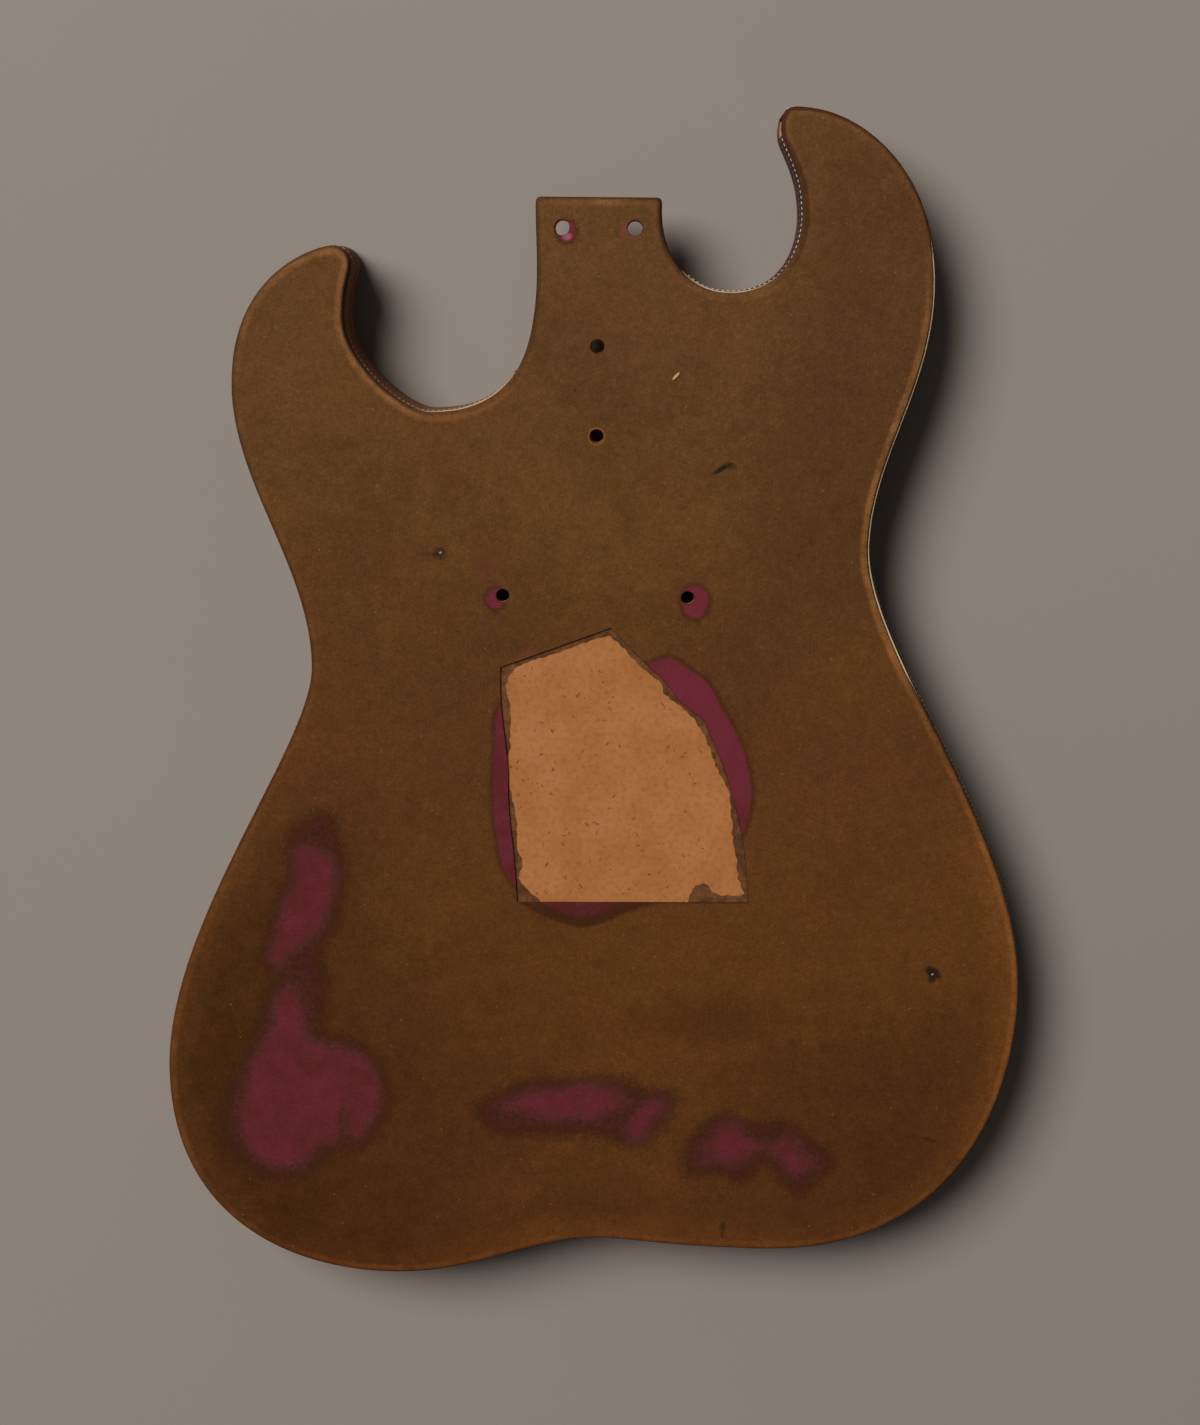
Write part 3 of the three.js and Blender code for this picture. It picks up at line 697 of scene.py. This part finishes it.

# The rim over the edge: paler with wear and painted light, darker with painted shade, still wine in
# places
run = sums(tree, "ADD", kept(tree, "from_edge"), wander(tree, 0.007, 0.3))
run = sums(tree, "MULTIPLY_ADD", kept(tree, "trimmed"), -0.8, run)
band = sums(tree, "MULTIPLY", between(tree, run, 0.3, 1.5), between(tree, run, 4.2, 2.4))
band = sums(tree, "MULTIPLY", band, between(tree, cloudy(tree, 0.009, 3), 0.35, 0.65, 0.6, 1.3))
colour = shade(tree, colour, sums(tree, "MULTIPLY_ADD", band, kept(tree, "worn_and_lit"), 1.0))
# Painted shade along the rim's edge, as much as the rim table gives
painted_edge_shade = sums(tree, "MULTIPLY", between(tree, run, 2.6, 1.4), kept(tree, "dark"))
colour = shade(tree, colour, sums(tree, "SUBTRACT", 1.0, painted_edge_shade))
line = between(tree, run, 1.7, 0.5, 0, 0.32)
line = sums(tree, "MULTIPLY", line, between(tree, y, -0.12, -0.05, 0.2, 1.0))
line = sums(tree, "MULTIPLY", line, sums(tree, "SUBTRACT", 1.0, kept(tree, "trimmed")))
colour = shade(tree, colour, sums(tree, "SUBTRACT", 1.0, line))
# Painted light on the trimmed felt edge on the right side, where the lamp barely reaches it
painted_trim_light = sums(tree, "MULTIPLY", between(tree, run, 1.6, 0.4), between(tree, x, 0.095, 0.11))
painted_trim_light = sums(tree, "MULTIPLY", painted_trim_light, kept(tree, "trimmed"))
colour = shade(tree, colour, sums(tree, "MULTIPLY_ADD", painted_trim_light, 0.8, 1.0))
dyed = sums(tree, "MULTIPLY", between(tree, run, 2.0, 1.2), kept(tree, "dyed"))
colour = blend(tree, dyed, colour, paint(66, 32, 27))

# Dusk, then wine, where the dye kept its colour, with a dark fringe round both
ragged = sums(tree, "ADD", wander(tree, 0.006, 1.0, 4), wander(tree, 0.0013, 0.8, 2))
for turn in (10, 75, 130):
    hairs = cloudy(tree, 0.0007, 2, place(tree, turn, (0.2, 1, 1)))
    ragged = sums(tree, "MULTIPLY_ADD", sums(tree, "SUBTRACT", hairs, 0.5), 6.5, ragged)
dusky = sums(tree, "ADD", kept(tree, "dusky"), ragged)
bright = sums(tree, "ADD", kept(tree, "bright"), ragged)
covered = sums(tree, "MULTIPLY_ADD", ragged, 0.22, kept(tree, "covered"))
low_end = between(tree, y, -0.072, -0.079)
near_cover = between(tree, covered, -2.6, -0.2, 0, 0.6)
below_cover = sums(tree, "MULTIPLY", between(tree, covered, -5.2, -3.2, 0, 0.8), low_end)
fringe = sums(tree, "MAXIMUM", near_cover, below_cover)
fringe = sums(tree, "MAXIMUM", fringe, between(tree, dusky, -6.5, 0.5, 0, 0.8))
colour = blend(tree, fringe, colour, paint(62, 34, 22))
dusk = between(tree, cloudy(tree, 0.0018, 3), 0.35, 0.65)
dusk = blend(tree, dusk, paint(64, 33, 26), paint(75, 39, 34))
colour = blend(tree, between(tree, dusky, -1.5, 3.0, 0, 0.85), colour, dusk)
wine = between(tree, cloudy(tree, 0.009, 3), 0.3, 0.7)
wine = blend(tree, wine, paint(88, 36, 40), paint(98, 40, 50))
wine = shade(tree, wine, between(tree, cloudy(tree, 0.0009, 2), 0.3, 0.7, 0.92, 1.1, smooth=False))
colour = blend(tree, between(tree, bright, -4.5, 0.6, 0, 0.75), colour, paint(81, 43, 42))
colour = blend(tree, between(tree, bright, -1.2, 2.8), colour, wine)
rosy = sums(tree, "MULTIPLY", between(tree, x, 0.0, 0.045), between(tree, y, -0.07, 0.01))
rosy = sums(tree, "MAXIMUM", rosy, between(tree, y, 0.03, 0.045))
covered_wine = shade(tree, wine, sums(tree, "MULTIPLY_ADD", rosy, 0.06, 1.03))
covered_wine = blend(tree, sums(tree, "MULTIPLY", rosy, 0.6), covered_wine, paint(110, 42, 57))
covered_wine = blend(tree, sums(tree, "MULTIPLY", low_end, 0.45), covered_wine, dusk)
colour = blend(tree, between(tree, covered, -0.7, 0.8), colour, covered_wine)

# Faint pink beside three holes, a purple haze above the left pickup hole, a darker patch low
# down, and a bright pink spot at the left hole of the neck's end
for mark in (((9.9, 192.8), 1.6, 2.3, 0, 0.6, 0.5), ((3.9, 146.6), 1.5, 2.2, 0, 0.6, 0.3),
             ((-27.5, 24.6), 4.2, 1.5, 20, 0.6, 0.4)):
    colour = blend(tree, smudge(tree, *mark), colour, paint(118, 60, 62))
colour = blend(tree, smudge(tree, (-44.5, 62), 5, 10, 20, 0.8, 0.25), colour, paint(88, 46, 38))
colour = blend(tree, smudge(tree, (44, -127), 26, 9, 5, 0.9, 0.35), colour, paint(60, 34, 14))
colour = blend(tree, smudge(tree, (-12.0, 189.7), 1.7, 1.3, 20, 0.5, 0.75), colour, paint(150, 86, 98))

# Painted shadow along the right of the cut edge, painted shade on the dark edges of the holes, and
# felt rubbed orange round the neck hole nearest the middle
cut_edge_shadow = between(tree, kept(tree, "from_cut"), 0.5, 0.1, 0, 0.6)
cut_edge_shadow = sums(tree, "MULTIPLY", cut_edge_shadow, between(tree, x, 0, 0.02))
colour = blend(tree, cut_edge_shadow, colour, paint(36, 22, 15))
from_hole = kept(tree, "from_hole")
last_hole = smudge(tree, (0, 112.5), 4.2, 4.2, 0, 0.15)
rubbed = sums(tree, "MULTIPLY", last_hole, between(tree, from_hole, 1.2, 0.5, 0, 0.5))
colour = blend(tree, rubbed, colour, paint(136, 90, 50))
# A dark felt edge round the holes, deepened with painted shade where their walls fall into shade
colour = blend(tree, between(tree, from_hole, 0.35, 0.05, 0, 0.8), colour, paint(36, 20, 12))

# Dark bruises and scratches, two pale nicks, and a pale splinter caught in the nap with a painted
# shadow
for mark in (
        ((49.8, 100.2), 4.4, 0.95, 28, 0.5, 0.75), ((49.4, 100.2), 2.2, 0.8, 35, 0.4, 0.9),
        ((53.4, 101.4), 2.6, 1.2, -18, 0.6, 0.45), ((-62.2, 65.5), 2.6, 2.4, 0, 0.5, 0.6),
        ((-66.5, 65.0), 3.6, 0.9, 0, 0.6, 0.35), ((140.1, -104.9), 3.6, 2.2, -35, 0.35, 0.85),
        ((139.9, -107.2), 1.6, 2.4, -20, 0.4, 0.8), ((139.2, -104.8), 1.2, 1.1, 0, 0.4, 0.95)):
    colour = blend(tree, smudge(tree, *mark), colour, paint(40, 30, 26))
for mark in (((141.4, -177), 3.6, 0.8, -17, 0.5, 0.55), ((56, -216.6), 1.2, 1.9, 0, 0.5, 0.6),
             ((55.9, -219.2), 0.6, 1.4, 0, 0.5, 0.5), ((55.9, -220.9), 0.8, 0.7, 0, 0.4, 0.6),
             ((-8.7, 130.5), 0.7, 0.6, 0, 0.4, 0.5)):
    colour = blend(tree, smudge(tree, *mark), colour, paint(48, 33, 8))
for nick in ((-61.9, 65.7), (139.9, -105.6)):
    colour = blend(tree, smudge(tree, nick, 0.55, 0.4, 20, 0.3, 0.8), colour, paint(150, 138, 128))
# The splinter's painted shadow, just to its lower right, then the splinter itself
colour = blend(tree, smudge(tree, (31.4, 136.0), 2.1, 0.7, 47, 0.3, 0.6), colour, paint(50, 30, 16))
colour = blend(tree, smudge(tree, (31.0, 136.4), 1.9, 0.5, 47, 0.2), colour, paint(190, 156, 96))
tree.links.new(colour, surface.inputs["Base Color"])
surface.inputs["Specular IOR Level"].default_value = 0.08
surface.inputs["Sheen Weight"].default_value = 0.03
surface.inputs["Sheen Roughness"].default_value = 0.5
nap = sums(tree, "ADD", cloudy(tree, 0.0005, 2), cloudy(tree, 0.0014, 2))
relief(tree, surface, nap, 0.00016)

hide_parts("back_felt")


# The glue left on the bare board: a thin brown crust with torn felt in it, ragged
# towards the middle, where the cut piece of felt was pulled off.
BARE_AREA = (
    (-21.5, -76.6), (-27, -72), (-31, -68), (-29, -61), (-31, -55), (-31, -45), (-34, -30), (-35, -22),
    (-34, -10), (-34, 2), (-35.5, 10), (-34.5, 16), (-30, 20.5), (-16, 25.5), (1, 31.5), (6, 32.3),
    (11.6, 28.3), (15.4, 24), (21.2, 18.3), (26.5, 14.3), (29.7, 8.5), (35.2, 4.2), (38.2, 1.6),
    (42.9, -4.2), (46.5, -11.8), (49.5, -20), (54.5, -29), (56, -38), (57, -50), (59, -61), (60, -68),
    (62.5, -73), (56, -74), (50, -73), (46, -69), (42, -70), (39.3, -76.4),
)
BOARD_TOP = 37.4 * MM
CRUST_THICKNESS = 0.12 * MM
CRUST_STEP = 0.7 * MM
CRUST_RAGGED = 0.42 * MM
CRUST_UNDER_FELT = 0.8 * MM


def glue_ring():
    """The crust's outline: along the ragged bare area, and back round under the felt's cut edge."""
    bare = fair(np.array(BARE_AREA) * MM, CRUST_STEP, 60)
    bare = bare[: np.argmin(np.hypot(*(bare - np.array(BARE_AREA[-1]) * MM).T)) + 1]
    chance = np.random.default_rng(7)
    shaky = chance.normal(0, CRUST_RAGGED, len(bare) + 2)
    shaky = np.convolve(shaky, np.ones(3) / 3, mode="valid")
    bare[1:-1] = inset(bare, shaky)[1:-1]
    under_felt = inset(cut_out, -CRUST_UNDER_FELT)
    first, last = (np.argmin(np.hypot(*(under_felt - end).T)) for end in (bare[0], bare[-1]))
    way = np.roll(under_felt, -last, axis=0)[: (first - last) % len(under_felt) + 1]
    return np.concatenate([bare, way])


shape = bmesh.new()
crust = lay(shape, glue_ring(), BOARD_TOP + CRUST_THICKNESS)
bmesh.ops.triangle_fill(shape, use_beauty=True, edges=crust)
made = bmesh.ops.extrude_face_region(shape, geom=shape.faces[:])["geom"]
bmesh.ops.translate(shape, verts=[part for part in made if isinstance(part, bmesh.types.BMVert)],
                    vec=(0, 0, -CRUST_THICKNESS))
glue, tree, surface = finish_with("old_glue", 0.85)
surface.inputs["Specular IOR Level"].default_value = 0.2
colour = between(tree, cloudy(tree, 0.004, 4), 0.35, 0.65)
colour = blend(tree, colour, paint(80, 53, 31), paint(106, 71, 43))
crumbs = between(tree, cloudy(tree, 0.0009, 3), 0.45, 0.7, 0, 0.5)
colour = blend(tree, crumbs, colour, paint(64, 41, 25))
tree.links.new(colour, surface.inputs["Base Color"])
relief(tree, surface, cloudy(tree, 0.0012, 3), 0.00015)
crust = piece_from(shape, "glue_crust", glue)


# The edge tapes: dark wine woven tape glued round the sides over the frame, a long one
# round the body and a short one in the long horn's cutaway. Two rows of pale stitching
# run along each, and the top edge is a cream selvedge.
TAPE_THICKNESS = 0.7 * MM
TAPE_PROUD = 0.2 * MM
TAPE_SUNK = 0.45 * MM
ON_TAPE_WITHIN = 0.75 * MM
# In millimetres, from the bottom edge up: the height, and how far the face is drawn in there
TAPE_HIGH = 34.2
TAPE_PROFILE = (
    (3.2, 0.25), (3.6, 0.06), (4.4, 0.0), (9, 0.0), (18.7, 0.0), (29, 0.0), (33.2, 0.0), (34.0, 0.25),
    (TAPE_HIGH, 0.45),
)
# How far the top edge rises and leans in, and the heights in millimetres from which it does
TAPE_RISE, RISES_FROM = 2.7 * MM, 29
TAPE_LEAN, LEANS_FROM = 0.5 * MM, 33
# The lower row of stitches runs along the middle, the upper one just under the top edge
STITCH_ROWS = (18.5 * MM, 33.1 * MM)
STITCH_PITCH = 2.1 * MM
STITCH_SIZE = (0.6 * MM, 0.7 * MM, 1.35 * MM)
STITCH_WAVER = 0.12 * MM
# The weave's two slants, in millimetres
RIB_PITCH, YARN_PITCH = 0.9, 0.55

weave, tree, surface = finish_with("woven_wine_tape", 0.85)
x, y, z = axes_of(tree)
run = kept(tree, "along")
height = sums(tree, "MULTIPLY", z, 1000.0)
slant = sums(tree, "MULTIPLY_ADD", height, 0.9, run)
rib = sums(tree, "SINE", sums(tree, "MULTIPLY", slant, 2 * math.pi / RIB_PITCH))
slant = sums(tree, "SUBTRACT", run, height)
yarn = sums(tree, "SINE", sums(tree, "MULTIPLY", slant, 2 * math.pi / YARN_PITCH))
woven = sums(tree, "MULTIPLY_ADD", rib, 0.32, sums(tree, "MULTIPLY_ADD", yarn, 0.12, 0.5))
patchy = cloudy(tree, 0.009, 4)
colour = blend(tree, between(tree, woven, 0.1, 0.9), paint(39, 17, 15), paint(67, 34, 29))
colour = blend(tree, between(tree, patchy, 0.35, 0.75, 0, 0.4), colour, paint(74, 46, 38))
# Browner on the short horn's side, where it has faded; most of all in its cutaway, where that is
# painted light
in_cutaway = sums(tree, "MULTIPLY", between(tree, x, -0.13, -0.115), between(tree, y, 0.07, 0.11))
fade_and_painted_light = sums(tree, "MULTIPLY_ADD", in_cutaway, 0.62, 0.28)
fade_and_painted_light = sums(tree, "MULTIPLY", fade_and_painted_light, between(tree, x, 0.0, -0.05))
colour = blend(tree, fade_and_painted_light, colour, paint(122, 80, 52))
dusty = between(tree, height, 8.0, 4.0, 0, 0.35)
colour = blend(tree, dusty, colour, paint(96, 66, 48))
selvedge = sums(tree, "MULTIPLY_ADD", patchy, -0.3, kept(tree, "from_top"))
selvedge = sums(tree, "MULTIPLY", between(tree, selvedge, 0.12, -0.12), kept(tree, "selvedge"))
# The selvedge's cream, painted near white as painted light where the felt's rim shades it
cream_and_painted_light = blend(tree, cloudy(tree, 0.0008, 2), paint(226, 202, 150), paint(250, 232, 186))
colour = blend(tree, selvedge, colour, cream_and_painted_light)
tree.links.new(colour, surface.inputs["Base Color"])
relief(tree, surface, woven, 0.00015)

thread, tree, surface = finish_with("pale_thread", 0.8)
x, _, z = axes_of(tree)
twist = {"Vector": place(tree), "Scale": 900, "Distortion": 3.0, "Detail": 1.0}
twist = put(tree, "TexWave", twist).outputs["Fac"]
dirt = between(tree, cloudy(tree, 0.006, 3), 0.35, 0.7)
colour = blend(tree, dirt, paint(222, 200, 160), paint(158, 126, 98))
low_row = between(tree, z, 0.022, 0.02, 0, 0.95)
dull = sums(tree, "MAXIMUM", low_row, between(tree, x, 0.0, -0.05, 0, 0.7))
colour = blend(tree, dull, colour, blend(tree, low_row, paint(128, 82, 72), paint(84, 50, 52)))
colour = blend(tree, sums(tree, "MULTIPLY", twist, 0.3), colour, paint(96, 66, 48))
tree.links.new(colour, surface.inputs["Base Color"])
relief(tree, surface, twist, 0.0001)

outer_face = inset(outline, -TAPE_PROUD)


def run_of(node):
    """The stretch of the body's outline that a CAD tape covers, in order."""
    band = cad_loops(node, TAPE_HIGH * MM)[0]
    on_tape = np.abs(depth_in(outer_face, band)) < ON_TAPE_WITHIN
    starts = [i for i in range(len(on_tape)) if on_tape[i] and not on_tape[i - 1]]
    runs = []
    for first in starts:
        run = [first]
        while on_tape[(run[-1] + 1) % len(on_tape)]:
            run.append((run[-1] + 1) % len(on_tape))
        runs.append(run)
    return outer_face[max(runs, key=len)]


def sew_tape(name, node):
    """One tape with its stitches. The outline runs with the body on its left."""
    path = run_of(node)
    step = np.diff(path, axis=0)
    reached = np.concatenate([[0], np.cumsum(np.hypot(*step.T))])
    way = np.gradient(path, axis=0)
    way /= np.hypot(*way.T)[:, None]
    inward = np.stack([-way[:, 1], way[:, 0]], axis=1)
    # Inside the long horn it lies a little deeper. On the long side its top edge stands higher
    # and leans in, where it shows beside the felt
    in_horn = tape_shows(path) * ramp(path[:, 0], 0.062, 0.074) * ramp(path[:, 0], 0.1, 0.09)
    path = path + inward * (TAPE_SUNK * in_horn)[:, None]
    leaning = tape_shows(path) * ramp(path[:, 0], 0.08, 0.1)
    shape = bmesh.new()
    number = shape.verts.layers.int.new("turn")
    from_top = shape.verts.layers.float.new("from_top")
    first_height, first_in = TAPE_PROFILE[0]
    points = [shape.verts.new((*spot, first_height * MM)) for spot in path + inward * first_in * MM]
    for i, point in enumerate(points):
        point[number] = i
        point[from_top] = TAPE_HIGH - first_height
    edges = [shape.edges.new(pair) for pair in zip(points, points[1:])]
    for level, drawn_in in TAPE_PROFILE[1:]:
        heights = level * MM + TAPE_RISE * leaning * ramp(level, RISES_FROM, TAPE_HIGH)
        tucked = drawn_in * MM + TAPE_LEAN * leaning * ramp(level, LEANS_FROM, TAPE_HIGH)
        edges = draw_out(shape, edges, path + inward * tucked[:, None], heights)
        for point in {point for edge in edges for point in edge.verts}:
            point[from_top] = TAPE_HIGH - level
    bmesh.ops.recalc_face_normals(shape, faces=shape.faces)
    shape.faces.ensure_lookup_table()
    face = shape.faces[0]
    if face.normal.xy.dot(Vector(inward[face.verts[0][number]])) > 0:
        bmesh.ops.reverse_faces(shape, faces=shape.faces)
    bmesh.ops.solidify(shape, geom=shape.faces[:], thickness=TAPE_THICKNESS)
    turns = [v[number] for v in shape.verts]
    tape = piece_from(shape, name, weave, smooth=50)
    measure(tape, "along", reached[turns] / MM)
    measure(tape, "selvedge", tape_shows(path, 0.066)[turns])
    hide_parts(node)

    shape = bmesh.new()
    bmesh.ops.create_uvsphere(shape, u_segments=6, v_segments=5, radius=0.5)
    bmesh.ops.scale(shape, verts=shape.verts, vec=STITCH_SIZE)
    stitch = bpy.data.meshes.new("stitch")
    shape.to_mesh(stitch)
    shape.free()
    stitches = bmesh.new()
    count = int((reached[-1] - STITCH_PITCH) / STITCH_PITCH)
    for row in STITCH_ROWS:
        for k in range(count):
            middle = (k + 0.75) * STITCH_PITCH
            spot, ahead = (Vector((*(np.interp(far, reached, path[:, axis]) for axis in (0, 1)), 0))
                           for far in (middle, middle + STITCH_PITCH / 2))
            turn = (ahead - spot).to_track_quat("Z", "Y").to_matrix().to_4x4()
            spot.z = row + STITCH_WAVER * math.sin(k * 2.4)
            there = Matrix.Translation(spot) @ turn
            stitch.transform(there)
            stitches.from_mesh(stitch)
            stitch.transform(there.inverted())
    bpy.data.meshes.remove(stitch)
    seam = piece_from(stitches, name + "_stitches", thread)


sew_tape("side_tape", "edge_tape_outer")
sew_tape("cutaway_tape", "edge_tape_cutaway")
